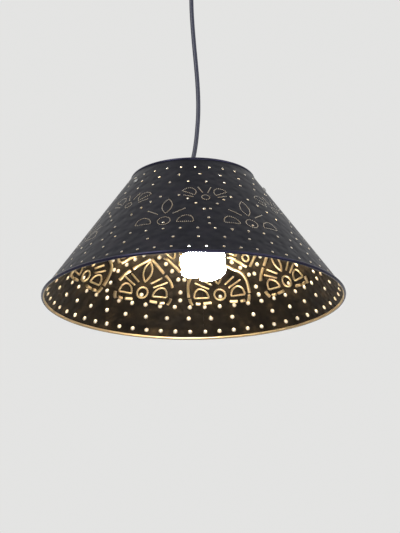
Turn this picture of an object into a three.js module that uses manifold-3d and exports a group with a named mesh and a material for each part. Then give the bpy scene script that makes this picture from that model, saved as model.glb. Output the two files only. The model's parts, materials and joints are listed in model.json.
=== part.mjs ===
// Pendant lamp with a conical shade of pierced sheet metal, hung on a cord from a ceiling hook.
// Millimetres, +Z up. The origin is the centre of the ceiling plate's top face, on the ceiling.
// The shade is described as a tinsmith would mark out its blank: t is the angle round the lamp,
// from the side that faces the viewer towards +X, and s is the distance up the slope from the rim.
import * as THREE from 'three';
import { mergeGeometries, mergeVertices } from 'three/addons/utils/BufferGeometryUtils.js';
import Module from 'manifold-3d';

const wasm = await Module();
wasm.setup();

// Gaps
const seat = 0.3;                 // between pieces that touch
const strapSeat = 0.6;            // between a flat strap and the curved sheet that it lies on

// Shade
const rimDrop = 520;              // ceiling to the plane under the bottom rim
const rimRadius = 197.6;          // centre line of the bottom ring
const crownRadius = 81.6;         // centre line of the top ring
const shadeHeight = 164.6;        // from one ring's centre line to the other's
const sheetThickness = 0.9;
const rimWire = 4.8;              // diameter of the bottom ring
const crownWire = 4.4;            // diameter of the top ring
const seamWidth = 9;
const seamAngle = 177;
const shadeFacets = 36;
const ringSides = 6;

// Pierced pattern
const flowerAngles = [-13, 27, 77, 126, 166.5, 207, 247, 297];   // lower flowers, set out by hand
const lowerFlowerRise = 64.5;     // slope distance of the lower flowers' centres
const punchWidth = 2.8;           // side of the square punch, where it meets the sheet
const punchDepth = 12;            // from the sheet down to the point of the punch
const ridgeWidth = 3.6;           // of the embossed lines, which stand up on the inside
const ridgeHeight = 2.2;          // from the sheet's middle
const ridgeRoot = 0.25;           // depth of a ridge's base inside the sheet
const rimRow = { rise: 10, count: 57, start: -1.5 };
const lowerRow = { rise: 29.5, count: 36, start: -17.8 };
const middleRow = { rise: 47, count: 50, start: 1.9 };
const neckRow = { rise: 165, count: 24, start: -9.8 };
const crownRow = { rise: 182, count: 32, start: -9.2 };

// Spider that carries the shade
const armCount = 3;
const armAngle = 102;             // first arm, in degrees from +X
const armWidth = 12;
const spiderThickness = 1.5;
const hubMargin = 4;              // of the hub outside the rings that clamp it
const tabLength = 17;
const rivetRadius = 1.7;
const rivetHead = 3.6;
const rivetHeadHeight = 1.5;

// Lamp holder, which leans a little in the shade; heights run down from its top
const holderTop = shadeHeight + 25.4;   // above the plane under the bottom rim
const holderShift = 0.6;          // of its top towards +X
const holderLean = 5;             // degrees, its lower end towards +X
const nippleHeight = 9;
const nippleRadius = 7.5;
const capHeight = 25;
const capRadius = 20.8;
const capWall = 1.9;
const coreThickness = 8.3;
const sleeveRadius = 19.8;
const sleeveHeight = 29.7;
const sleeveWall = 3.4;
const ledgeThickness = 1.8;
const shellRadius = 14.2;
const shellWall = 0.7;
const shellHeight = 25;
const shadeRingRadius = 28;
const shadeRingHeight = 5.2;
const contactThickness = 0.6;

// Bulb
const bulbCapRadius = 13.1;
const bulbCapHeight = 22.5;
const ballastRadius = 25;
const ballastHeight = 42;
const lidThickness = 3;
const tubeRadius = 5.2;
const coilRadius = 24.6;
const coilTurns = 1.75;
const coilDrop = 31.5;
const coilClear = 4.5;            // below the lid, above the first turn
const tubeHoleRadius = 16.5;

// Ceiling fitting
const plateRadius = 42;
const plateThickness = 2;
const flangeHeight = 12;
const plateScrewSpacing = 56;
const plateScrewHole = 2.5;
const canopyHeight = 55.5;
const canopyWall = 1;
const canopyMouth = 16;
const canopyScrewDepth = 7;
const hookWire = 2.5;             // radius
const hookBend = 8;               // radius of the hook's centre line
const hookDrop = 31;              // ceiling to the wire's centre at the bottom of the hook
const linkWire = 2;               // radius
const linkWidth = 12;             // between the centre lines of its long sides
const linkLength = 17;            // between the centre lines of its ends
const eyeRadius = 5.8;            // centre line of the grip's eye
const gripRadius = 7;
const gripHeight = 12;
const gripNutHeight = 10;
const nutHeight = 4;
const nutRadius = 5.2;

// Cord
const cordDiameter = 6;
const cordSides = 6;
const cordSteps = 20;
const cordLip = 0.5;              // of the nipple and the grip nut, under the cord's ends

// Derived places, in the frame whose z = 0 is the plane under the bottom rim
const halfAngle = Math.atan2(rimRadius - crownRadius, shadeHeight);
const slopeLength = Math.hypot(rimRadius - crownRadius, shadeHeight);
const rimHeight = rimWire / 2;
const lean = THREE.MathUtils.degToRad(holderLean);
const sheetLow = rimWire / 2 + seat;
const sheetHigh = slopeLength - crownWire / 2 - seat;

// Derived heights in the holder, down from its top
const capTop = -nippleHeight - seat;
const capLow = capTop - capHeight;
const sleeveShoulder = capLow - seat;
const sleeveLow = sleeveShoulder - sleeveHeight;
const spigotTop = capLow + 9;
const spigotRadius = capRadius - capWall - seat;
const coreRadius = spigotRadius - 2 - seat;
const coreLow = sleeveShoulder;
const coreTop = coreLow + coreThickness;
const ledgeTop = coreLow - seat;
const shellLow = ledgeTop - shellHeight;
const upperRingLow = sleeveShoulder - 7.4;
const hubTop = upperRingLow - seat;
const hubLow = hubTop - spiderThickness;
const lowerRingTop = hubLow - seat;
const ringBore = sleeveRadius + seat;
const hubRadius = shadeRingRadius + hubMargin;
const contactLow = ledgeTop - 2.7;
const tipTop = contactLow - seat;

// Derived heights in the ceiling fitting, below the ceiling
const linkTop = -hookDrop + hookWire + seat + linkWire;
const linkLow = linkTop - linkLength;
const eyeTop = linkLow + linkWire + seat + linkWire;
const eyeHeight = eyeTop - eyeRadius;
const gripTop = eyeHeight - eyeRadius - linkWire / 2;
const gripLow = gripTop - gripHeight;
const gripNutLow = gripLow - seat - gripNutHeight;
const cordBore = cordDiameter / 2 - cordLip;

// A closed ring turned from a profile of [radius, height] points, listed anticlockwise
function turnedRing(profile, facets) {
  const points = [...profile, profile[0]].map(([radius, height]) => new THREE.Vector2(radius, height));
  return new THREE.LatheGeometry(points, facets).rotateX(Math.PI / 2);
}

// A solid turned from a profile that starts and ends on the axis, listed from its bottom up
function turned(profile, facets) {
  const points = profile.map(([radius, height]) => new THREE.Vector2(radius, height));
  return new THREE.LatheGeometry(points, facets).rotateX(Math.PI / 2);
}

function pin(radius, length, sides) {
  return new THREE.CylinderGeometry(radius, radius, length, sides).rotateX(Math.PI / 2);
}

function wireRing(radius, wireRadius, facets, sides) {
  return new THREE.TorusGeometry(radius, wireRadius, sides, facets).rotateZ(-Math.PI / 2);
}

function roundSection(radius, sides) {
  const corners = [];
  for (let i = 0; i < sides; i += 1) {
    const angle = (i * 2 * Math.PI) / sides;
    corners.push(new THREE.Vector2(radius * Math.cos(angle), radius * Math.sin(angle)));
  }
  return new THREE.Shape(corners);
}

// A rod of round section along a curve through the given points
function rod(points, radius, sides, steps) {
  const path = new THREE.CatmullRomCurve3(points, false, 'centripetal');
  return new THREE.ExtrudeGeometry(roundSection(radius, sides), { extrudePath: path, steps });
}

// For each [x, y] point of a line, the point and the way from it to its left edge, mitred
function mitred(points, width, closed) {
  const line = points.map(([x, y]) => new THREE.Vector2(x, y));
  const last = line.length - 1;
  return line.map((point, i) => {
    const before = line[i > 0 ? i - 1 : closed ? last : 0];
    const after = line[i < last ? i + 1 : closed ? 0 : last];
    const back = (before === point ? after.clone().sub(point) : point.clone().sub(before)).normalize();
    const ahead = (after === point ? back.clone() : after.clone().sub(point)).normalize();
    const across = new THREE.Vector2(-back.y - ahead.y, back.x + ahead.x).normalize();
    const reach = width / 2 / across.dot(new THREE.Vector2(-back.y, back.x));
    return { point, across: across.multiplyScalar(reach) };
  });
}

// The outline of a band of even width along a line of [x, y] points
function band(points, width) {
  const corners = mitred(points, width, false);
  const left = corners.map(({ point, across }) => point.clone().add(across));
  const right = corners.map(({ point, across }) => point.clone().sub(across)).reverse();
  const outline = [...left, ...right];
  if (THREE.ShapeUtils.area(outline) < 0) outline.reverse();
  return new THREE.Shape(outline);
}

// A raised line of triangular section along [x, y] points, its edge towards -z
function ridge(points, closed) {
  const corners = mitred(points, ridgeWidth, closed);
  const places = corners.flatMap(({ point, across }) => [
    point.x + across.x, point.y + across.y, -ridgeRoot,
    point.x - across.x, point.y - across.y, -ridgeRoot,
    point.x, point.y, -ridgeHeight,
  ]);
  const triangles = [];
  const lengths = closed ? corners.length : corners.length - 1;
  for (let i = 0; i < lengths; i += 1) {
    const here = 3 * i;
    const next = 3 * ((i + 1) % corners.length);
    for (let side = 0; side < 3; side += 1) {
      const other = (side + 1) % 3;
      triangles.push(here + side, here + other, next + side);
      triangles.push(here + other, next + other, next + side);
    }
  }
  const end = 3 * (corners.length - 1);
  if (!closed) triangles.push(2, 1, 0, end, end + 1, end + 2);
  const geometry = new THREE.BufferGeometry();
  geometry.setAttribute('position', new THREE.Float32BufferAttribute(places, 3));
  return geometry.setIndex(triangles);
}

function plate(shape, thickness) {
  const geometry = new THREE.ExtrudeGeometry(shape, { depth: thickness, bevelEnabled: false });
  return geometry.translate(0, 0, -thickness / 2);
}

// Geometry to and from a solid that can be cut and joined
function solid(geometry) {
  const plain = geometry.clone();
  plain.deleteAttribute('normal');
  plain.deleteAttribute('uv');
  const merged = mergeVertices(plain, 1e-4);
  const corners = merged.index.array;
  const kept = [];
  for (let i = 0; i < corners.length; i += 3) {
    const [a, b, c] = [corners[i], corners[i + 1], corners[i + 2]];
    if (a !== b && b !== c && c !== a) kept.push(a, b, c);
  }
  return new wasm.Manifold(new wasm.Mesh({
    numProp: 3,
    vertProperties: Float32Array.from(merged.attributes.position.array),
    triVerts: Uint32Array.from(kept),
  }));
}

function geometryOf(body) {
  const { vertProperties, triVerts } = body.getMesh();
  const geometry = new THREE.BufferGeometry();
  geometry.setAttribute('position', new THREE.BufferAttribute(vertProperties, 3));
  geometry.setIndex(new THREE.BufferAttribute(triVerts, 1));
  geometry.computeVertexNormals();
  return geometry;
}

function cut(geometry, cutters) {
  return geometryOf(cutters.reduce((body, cutter) => body.subtract(solid(cutter)), solid(geometry)));
}

function join(geometries) {
  const [first, ...rest] = geometries.map(solid);
  return geometryOf(rest.reduce((body, other) => body.add(other), first));
}

function piece(name, geometry, color, roughness, metalness) {
  const material = new THREE.MeshStandardMaterial({ color, roughness, metalness });
  const mesh = new THREE.Mesh(geometry, material);
  mesh.name = name;
  return mesh;
}

// A point of the shade: angle t in radians, slope distance s, and height h off the sheet's middle
function onShade(t, s, h) {
  const radius = rimRadius - s * Math.sin(halfAngle) + h * Math.cos(halfAngle);
  const height = rimHeight + s * Math.cos(halfAngle) + h * Math.sin(halfAngle);
  return new THREE.Vector3(radius * Math.sin(t), -radius * Math.cos(t), height);
}

// Rolls flat geometry onto the shade: x goes round it, y up its slope and z out of it
function rolled(geometry, degrees, rise) {
  const places = geometry.attributes.position;
  for (let i = 0; i < places.count; i += 1) {
    const s = rise + places.getY(i);
    const t = THREE.MathUtils.degToRad(degrees) + places.getX(i) / (rimRadius - s * Math.sin(halfAngle));
    const point = onShade(t, s, places.getZ(i));
    places.setXYZ(i, point.x, point.y, point.z);
  }
  return geometry;
}

// The frame of a rivet in the shade: its axis is the sheet's outward normal
function placedOnShade(geometry, degrees, rise) {
  const t = THREE.MathUtils.degToRad(degrees);
  const round = new THREE.Vector3(Math.cos(t), Math.sin(t), 0);
  const out = onShade(t, rise, 1).sub(onShade(t, rise, 0));
  const up = new THREE.Vector3().crossVectors(out, round);
  const frame = new THREE.Matrix4().makeBasis(round, up, out).setPosition(onShade(t, rise, 0));
  return geometry.applyMatrix4(frame);
}

// The lines of one flower as [x, y] points on the flat sheet, x to the right of its centre and y up
// the slope; the side petal and the ray are those on the right
const sidePetal = [[17, -3.5], [27, -3.5], [36.5, -3.5], [34.5, 6], [28, 9.6], [19.5, 5.5]];
const topPetal = [[0, 17], [6.5, 27], [6, 36], [0, 45.5], [-6, 36], [-6.5, 27]];
const ray = [[13, 12], [21.3, 17], [29.5, 22]];
const flowerRing = { radius: 8.2, sides: 6 };
const flowerEye = -3.6;

// A pointed tool of square section, its point inside the sheet, for a hole that narrows inwards
function punchMark(degrees, rise) {
  const above = 3;
  const width = punchWidth * (punchDepth + above) / punchDepth;
  const tool = new THREE.ConeGeometry(Math.SQRT1_2, punchDepth + above, 4)
    .rotateY(Math.PI / 4)
    .rotateX(-Math.PI / 2)
    .translate(0, 0, (above - punchDepth) / 2)
    .scale(width, width, 1);
  return placedOnShade(tool, degrees, rise);
}

function punchedRow({ rise, count, start }) {
  return Array.from({ length: count }, (_, i) => punchMark(start + (i * 360) / count, rise));
}

function flower(degrees) {
  const mirrored = (line) => line.map(([x, y]) => [-x, y]);
  const ring = Array.from({ length: flowerRing.sides }, (_, i) => {
    const angle = (i * 2 * Math.PI) / flowerRing.sides;
    return [flowerRing.radius * Math.cos(angle), flowerRing.radius * Math.sin(angle)];
  });
  const loops = [ring, sidePetal, mirrored(sidePetal), topPetal];
  const lines = [ray, mirrored(ray)];
  return [...loops.map((loop) => ridge(loop, true)), ...lines.map((line) => ridge(line, false))]
    .map((line) => rolled(line, degrees, lowerFlowerRise));
}

function punches() {
  const rows = [rimRow, lowerRow, middleRow, neckRow, crownRow].flatMap(punchedRow);
  const eyes = flowerAngles.map((degrees) => punchMark(degrees, lowerFlowerRise + flowerEye));
  return mergeGeometries([...rows, ...eyes]);
}

// The arms' tabs lie on the inside of the sheet, each held by a rivet
const strapDepth = sheetThickness / 2 + strapSeat + spiderThickness / 2;
const armPlace = hubPlace();
const tabTop = (armPlace.z + 3 - rimHeight) / Math.cos(halfAngle);
const rivetRise = tabTop - tabLength * 0.55;
const armTurns = Array.from({ length: armCount }, (_, i) => armAngle + (i * 360) / armCount);

function hubPlace() {
  const drop = (hubTop + hubLow) / 2;
  return new THREE.Vector3(holderShift - drop * Math.sin(lean), 0, holderTop + drop * Math.cos(lean));
}

function shade() {
  const half = sheetThickness / 2;
  const corners = [[sheetLow, -half], [sheetLow, half], [sheetHigh, half], [sheetHigh, -half]];
  const profile = corners.map(([s, h]) => {
    const point = onShade(0, s, h);
    return [-point.y, point.z];
  });
  const sheet = turnedRing(profile, shadeFacets);
  const length = sheetHigh - sheetLow;
  const lap = new THREE.BoxGeometry(seamWidth, length - 1, sheetThickness * 1.5, 2, 1, 1)
    .translate(0, length / 2, -half - sheetThickness * 0.25);
  const seam = rolled(lap, seamAngle, sheetLow);
  const rivetHoles = armTurns.map((turn) =>
    placedOnShade(pin(rivetRadius + seat, 6 * sheetThickness, 6), turn + 90, rivetRise));
  return cut(join([sheet, seam, ...flowerAngles.flatMap(flower)]), [punches(), ...rivetHoles]);
}

function bottomRimRing() {
  return wireRing(rimRadius, rimWire / 2, shadeFacets, ringSides)
    .translate(0, 0, rimHeight);
}

function topRimRing() {
  const height = rimHeight + shadeHeight;
  return wireRing(crownRadius, crownWire / 2, shadeFacets, ringSides)
    .translate(0, 0, height);
}

// Side view of one arm as [distance from the lamp's axis, height] points: hub, bend, wall, tab
function armLine(turn) {
  const across = Math.cos(THREE.MathUtils.degToRad(turn));
  const root = shadeRingRadius + hubMargin * 0.3;
  const hubReach = armPlace.x * across;
  const climb = Math.tan(lean) * across;
  const tabEnd = onShade(0, tabTop - tabLength, -strapDepth);
  const bend = onShade(0, tabTop, -strapDepth);
  return [
    [root + hubReach, armPlace.z + root * climb],
    [hubRadius + 6 + hubReach, armPlace.z + (hubRadius + 6) * climb],
    [-bend.y, bend.z],
    [-tabEnd.y, tabEnd.z],
  ];
}

function spider() {
  const hub = turnedRing([
    [ringBore, hubLow], [hubRadius, hubLow], [hubRadius, hubTop], [ringBore, hubTop],
  ], 24).rotateY(-lean).translate(holderShift, 0, holderTop);
  const arms = armTurns.map((turn) => plate(band(armLine(turn), spiderThickness), armWidth)
    .rotateX(Math.PI / 2)
    .rotateZ(THREE.MathUtils.degToRad(turn)));
  const holes = armTurns.map((turn) =>
    placedOnShade(pin(rivetRadius + seat, 20, 6), turn + 90, rivetRise));
  return cut(join([hub, ...arms]), holes);
}

function spiderRivet(turn) {
  const outside = sheetThickness / 2 + seat;
  const inside = -strapDepth - spiderThickness / 2 - seat;
  const rivet = turned([
    [0, inside - rivetHeadHeight],
    [rivetHead * 0.7, inside - rivetHeadHeight],
    [rivetHead * 0.9, inside],
    [rivetRadius, inside],
    [rivetRadius, outside],
    [rivetHead, outside],
    [rivetHead * 0.75, outside + rivetHeadHeight * 0.75],
    [0, outside + rivetHeadHeight],
  ], 6);
  return placedOnShade(rivet, turn + 90, rivetRise);
}

function holderNipple() {
  const screwRadius = 5;
  return turnedRing([
    [cordBore, capTop - 4],
    [screwRadius, capTop - 4],
    [screwRadius, capTop + seat],
    [nippleRadius, capTop + seat],
    [nippleRadius, capTop + 4.5],
    [nippleRadius * 0.66, 0],
    [cordBore, 0],
  ], 12);
}

function holderCap() {
  const neck = 5 + seat;
  const outer = [
    [capRadius, capLow],
    [capRadius, capTop - capHeight * 0.62],
    [capRadius * 0.93, capTop - capHeight * 0.35],
    [capRadius * 0.75, capTop - capHeight * 0.14],
    [capRadius * 0.48, capTop],
  ];
  const inner = outer.map(([radius, height]) => [radius - capWall, height - capWall * 0.8]).reverse();
  inner[inner.length - 1] = [capRadius - capWall, capLow];
  return turnedRing([...outer, [neck, capTop], [neck, capTop - capWall * 0.8], ...inner], 20);
}

function holderCore() {
  return turned([[0, coreLow], [coreRadius, coreLow], [coreRadius, coreTop], [0, coreTop]], 20);
}

function centreContact() {
  const top = ledgeTop;
  const tongue = band([
    [-8, top - contactThickness / 2],
    [3, top - contactThickness / 2],
    [6, top - 1.4],
    [0, contactLow + contactThickness / 2],
    [-5, contactLow + contactThickness],
  ], contactThickness);
  return plate(tongue, 5).rotateX(Math.PI / 2);
}

function screwShell() {
  const inner = shellRadius - shellWall;
  return turnedRing([
    [inner, shellLow], [shellRadius, shellLow], [shellRadius, ledgeTop], [inner, ledgeTop],
  ], 20);
}

function holderSleeve() {
  const bore = sleeveRadius - sleeveWall;
  const seatBore = coreRadius + seat;
  const ledgeBore = shellRadius + seat;
  return turnedRing([
    [bore, sleeveLow],
    [sleeveRadius, sleeveLow],
    [sleeveRadius, sleeveShoulder],
    [spigotRadius, sleeveShoulder],
    [spigotRadius, spigotTop],
    [seatBore, spigotTop],
    [seatBore, ledgeTop],
    [ledgeBore, ledgeTop],
    [ledgeBore, ledgeTop - ledgeThickness],
    [bore, ledgeTop - ledgeThickness],
  ], 20);
}

function upperShadeRing() {
  return turnedRing([
    [ringBore, upperRingLow],
    [shadeRingRadius, upperRingLow],
    [shadeRingRadius, upperRingLow + shadeRingHeight * 0.5],
    [shadeRingRadius - 5, upperRingLow + shadeRingHeight],
    [ringBore, upperRingLow + shadeRingHeight],
  ], 20);
}

function lowerShadeRing() {
  return turnedRing([
    [ringBore, lowerRingTop - shadeRingHeight],
    [shadeRingRadius - 5, lowerRingTop - shadeRingHeight],
    [shadeRingRadius, lowerRingTop - shadeRingHeight * 0.5],
    [shadeRingRadius, lowerRingTop],
    [ringBore, lowerRingTop],
  ], 20);
}

// Bulb, below the centre contact
const tipHeight = 2.4;
const bulbInsulatorTop = tipTop - tipHeight - seat;
const insulatorHeight = 3.7;
const bulbCapTop = bulbInsulatorTop - insulatorHeight - seat;
const bulbCapLow = bulbCapTop - bulbCapHeight;
const ballastTop = bulbCapLow - seat;
const ballastLow = ballastTop - ballastHeight;
const lidTop = ballastLow - seat;
const lidLow = lidTop - lidThickness;

function bulbTip() {
  return turned([
    [0, tipTop - tipHeight], [4.8, tipTop - tipHeight], [3.6, tipTop], [0, tipTop],
  ], 12);
}

function bulbInsulator() {
  const low = bulbInsulatorTop - insulatorHeight;
  return turned([
    [0, low], [bulbCapRadius - 1, low], [5.4, bulbInsulatorTop], [0, bulbInsulatorTop],
  ], 16);
}

const bulbCapWall = 0.7;

function bulbCap() {
  const bore = bulbCapRadius - bulbCapWall;
  return turnedRing([
    [bore, bulbCapLow],
    [bulbCapRadius, bulbCapLow],
    [bulbCapRadius, bulbCapTop - 2.5],
    [bulbCapRadius - 1, bulbCapTop],
    [bore - 1, bulbCapTop],
    [bore, bulbCapTop - 2.5],
  ], 20);
}

function ballastHousing() {
  const neck = bulbCapRadius - bulbCapWall - seat;
  return turned([
    [0, ballastLow],
    [ballastRadius - 1, ballastLow],
    [ballastRadius, ballastLow + 3],
    [ballastRadius * 0.96, ballastLow + ballastHeight * 0.42],
    [ballastRadius * 0.82, ballastLow + ballastHeight * 0.72],
    [bulbCapRadius + 1.2, ballastTop - 1.5],
    [bulbCapRadius + 0.4, ballastTop],
    [neck, ballastTop],
    [neck, bulbCapLow + 12],
    [0, bulbCapLow + 12],
  ], 20);
}

function ballastLid() {
  const disc = turned([
    [0, lidLow],
    [ballastRadius - 2, lidLow],
    [ballastRadius - 0.6, lidLow + 1.2],
    [ballastRadius - 0.6, lidTop],
    [0, lidTop],
  ], 24);
  const holes = [tubeHoleRadius, -tubeHoleRadius].map((x) =>
    pin(tubeRadius + 2 * seat, 3 * lidThickness, 12).translate(x, 0, lidLow));
  return cut(disc, holes);
}

// One half of the glass spiral, from its end in the lid down to the middle of the lower arch
function coilHalf(side) {
  const points = [];
  const end = (x, z) => points.push(new THREE.Vector3(side * x, 0, z));
  end(tubeHoleRadius, lidTop - seat);
  end(tubeHoleRadius, lidLow - coilClear * 0.4);
  end(tubeHoleRadius, lidLow - coilClear);
  const first = lidLow - coilClear - tubeRadius;
  const turns = coilTurns * 2 * Math.PI;
  const steps = Math.round(coilTurns * 10);
  for (let i = 1; i <= steps; i += 1) {
    const share = i / steps;
    const widen = Math.min(1, i / 3);
    const narrow = Math.min(1, (steps - i) / 1.5 + 0.72);
    const radius = (tubeHoleRadius + (coilRadius - tubeHoleRadius) * widen) * narrow;
    const angle = share * turns;
    points.push(new THREE.Vector3(
      side * radius * Math.cos(angle),
      side * radius * Math.sin(angle),
      first - coilDrop * share,
    ));
  }
  return points;
}

function spiralTube() {
  const down = coilHalf(1);
  const up = coilHalf(-1).reverse();
  const low = down[down.length - 1].z - 3.4;
  const path = [...down, new THREE.Vector3(0, 0, low), ...up];
  return rod(path, tubeRadius, 6, Math.round(coilTurns * 25 + 12));
}

// A cup with a disc that closes its middle, above the hook's nut
function ceilingPlate() {
  const bore = 9;
  const cup = turnedRing([
    [bore, -plateThickness],
    [plateRadius - plateThickness, -plateThickness],
    [plateRadius - plateThickness, -flangeHeight],
    [plateRadius, -flangeHeight],
    [plateRadius, 0],
    [bore, 0],
  ], 24);
  const disc = plate(roundSection(bore + 2, 11), plateThickness).translate(0, 0, -plateThickness / 2);
  const screwHoles = [-1, 1].map((side) =>
    pin(plateScrewHole, 6 * plateThickness, 8).translate(0, (side * plateScrewSpacing) / 2, 0));
  const cableHole = pin(6, 6 * plateThickness, 10).translate(24, 0, 0);
  const sideHoles = [-1, 1].map((side) => canopyScrewHole(side));
  return cut(join([cup, disc]), [...screwHoles, cableHole, ...sideHoles]);
}

const canopyScrewRadius = 1.8;

function canopyScrewHole(side) {
  return pin(canopyScrewRadius + seat, 14, 8)
    .rotateY(Math.PI / 2)
    .translate(side * plateRadius, 0, -canopyScrewDepth);
}

// Screwed into the nut, which is welded under the plate
function ceilingHook() {
  const centre = -hookDrop + hookBend;
  const points = [
    new THREE.Vector3(0, 0, -plateThickness - seat),
    new THREE.Vector3(0, 0, -plateThickness - nutHeight - 1),
    new THREE.Vector3(0.6, 0, -plateThickness - nutHeight - 4),
  ];
  for (let degrees = 48; degrees >= -205; degrees -= 23) {
    const angle = THREE.MathUtils.degToRad(degrees);
    points.push(new THREE.Vector3(hookBend * Math.cos(angle), 0, centre + hookBend * Math.sin(angle)));
  }
  return rod(points, hookWire, 6, 20);
}

function hookNut() {
  const low = -plateThickness - seat - nutHeight;
  return turnedRing([
    [hookWire + seat, low],
    [nutRadius, low],
    [nutRadius, low + nutHeight],
    [hookWire + seat, low + nutHeight],
  ], 6);
}

function canopy() {
  const bore = plateRadius + seat;
  const straight = -20;
  const low = -canopyHeight;
  const curve = (radius, height) => {
    const points = [];
    for (let i = 0; i <= 3; i += 1) {
      const angle = (i * Math.PI) / 6;
      points.push([
        canopyMouth + (radius - canopyMouth) * Math.cos(angle),
        straight + (height - straight) * Math.sin(angle),
      ]);
    }
    return points;
  };
  const outer = curve(bore + canopyWall, low).reverse();
  const inner = curve(bore, low + canopyWall);
  const cup = turnedRing([
    ...outer, [bore + canopyWall, -seat], [bore, -seat], ...inner,
  ], 24);
  return cut(cup, [-1, 1].map((side) => canopyScrewHole(side)));
}

function canopyScrew(side) {
  const seatX = plateRadius + 2 * seat + canopyWall;
  const screw = turned([
    [0, -6], [canopyScrewRadius, -6], [canopyScrewRadius, 0], [3.6, 0], [3.2, 1.6], [0, 2.1],
  ], 8);
  return screw.rotateY((side * Math.PI) / 2).translate(side * seatX, 0, -canopyScrewDepth);
}

const blockSize = { width: 30, depth: 16, height: 12 };

function terminalBlock() {
  const { width, depth, height } = blockSize;
  const top = -plateThickness - seat;
  const low = top - height;
  const outline = [[-width / 2, top], [-width / 2, top - 4]];
  for (const pole of [-1, 0, 1]) {
    const left = pole * 10 - 4.2;
    const right = pole * 10 + 4.2;
    outline.push([left, top - 4], [left, low], [right, low], [right, top - 4]);
  }
  outline.push([width / 2, top - 4], [width / 2, top]);
  const shape = new THREE.Shape(outline.map(([x, y]) => new THREE.Vector2(x, y)));
  const body = plate(shape, depth).rotateX(Math.PI / 2);
  const wireHoles = [-1, 0, 1].map((pole) =>
    pin(1.9, 2 * depth, 6).rotateX(Math.PI / 2).translate(pole * 10, 0, low + 4.5));
  return cut(body, wireHoles).translate(0, -17, 0);
}

function hangingLink() {
  const bend = linkWidth / 2;
  const upper = linkTop - bend;
  const lower = linkLow + bend;
  const points = [];
  for (let i = 0; i <= 6; i += 1) {
    const angle = (i * Math.PI) / 6;
    points.push(new THREE.Vector3(0, bend * Math.cos(angle), upper + bend * Math.sin(angle)));
  }
  for (let i = 0; i <= 6; i += 1) {
    const angle = Math.PI + (i * Math.PI) / 6;
    points.push(new THREE.Vector3(0, bend * Math.cos(angle), lower + bend * Math.sin(angle)));
  }
  const loop = new THREE.CatmullRomCurve3(points, true, 'centripetal');
  return new THREE.TubeGeometry(loop, 20, linkWire, 6, true);
}

function cordGripEye() {
  const eye = new THREE.TorusGeometry(eyeRadius, linkWire, 6, 14)
    .rotateX(Math.PI / 2)
    .translate(0, 0, eyeHeight);
  const body = turned([
    [0, gripLow],
    [gripRadius, gripLow],
    [gripRadius, gripTop - 3],
    [gripRadius * 0.6, gripTop],
    [0, gripTop],
  ], 12);
  return join([eye, body]);
}

function cordGripNut() {
  return turnedRing([
    [cordBore, gripNutLow],
    [cordBore + 1.4, gripNutLow],
    [gripRadius, gripLow - seat - gripNutHeight * 0.45],
    [gripRadius, gripLow - seat],
    [cordBore, gripLow - seat],
  ], 12);
}

// Route of the cord between its ends as [x, height above the holder's top], chosen by eye for a
// cord that rises this far
const routeRise = 255.9;
const cordRoute = [
  [0.4, 2.3], [0.33, 4.6], [0.5, 7.2], [0.95, 10.4], [1.6, 14], [2.5, 18.5], [3.5, 24.5],
  [4.5, 31.5], [5.4, 39], [6.2, 47.5], [7.1, 58], [7.9, 70], [8.3, 83], [8.3, 98], [7.8, 114],
  [6.9, 131], [5.7, 148], [4.4, 165], [3.1, 182], [2, 198], [1.1, 213], [0.45, 227],
  [0.1, 239], [0, 248],
];

function cord() {
  const start = [holderShift - seat * Math.sin(lean), holderTop + seat * Math.cos(lean)];
  const end = [0, rimDrop + gripNutLow - seat];
  const stretch = (end[1] - holderTop) / routeRise;
  const route = cordRoute.map(([x, height]) => [x, holderTop + height * stretch]);
  const points = [start, ...route, end].map(([x, z]) => new THREE.Vector3(x, 0, z));
  return rod(points, cordDiameter / 2, cordSides, cordSteps);
}

const finishes = {
  darkSheet: [0x35302a, 0.45, 0.9],
  ringMetal: [0x6b5a3c, 0.35, 0.95],
  brass: [0xb08a45, 0.35, 0.9],
  steel: [0x9a9a98, 0.35, 0.9],
  darkPlastic: [0x1c1c1f, 0.5, 0],
  cordPlastic: [0x20222a, 0.6, 0],
  ceramic: [0xe6e1d6, 0.4, 0],
  whitePlastic: [0xefefea, 0.45, 0],
  litGlass: [0xfff6e4, 0.2, 0],
};

const lamp = new THREE.Group();

lamp.add(
  piece('ceiling_plate', ceilingPlate(), ...finishes.steel),
  piece('ceiling_hook', ceilingHook(), ...finishes.steel),
  piece('hook_nut', hookNut(), ...finishes.steel),
  piece('canopy', canopy(), ...finishes.darkSheet),
  piece('canopy_screw_left', canopyScrew(-1), ...finishes.brass),
  piece('canopy_screw_right', canopyScrew(1), ...finishes.brass),
  piece('terminal_block', terminalBlock(), ...finishes.ceramic),
  piece('hanging_link', hangingLink(), ...finishes.steel),
  piece('cord_grip_eye', cordGripEye(), ...finishes.darkPlastic),
  piece('cord_grip_nut', cordGripNut(), ...finishes.darkPlastic),
);

const pendant = new THREE.Group();
pendant.position.z = -rimDrop;
pendant.add(
  piece('cord', cord(), ...finishes.cordPlastic),
  piece('spider', spider(), ...finishes.steel),
  piece('shade', shade(), ...finishes.darkSheet),
  piece('bottom_rim_ring', bottomRimRing(), ...finishes.ringMetal),
  piece('top_rim_ring', topRimRing(), ...finishes.ringMetal),
);
armTurns.forEach((turn, i) => {
  pendant.add(piece(`spider_rivet_${i + 1}`, spiderRivet(turn), ...finishes.steel));
});

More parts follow.
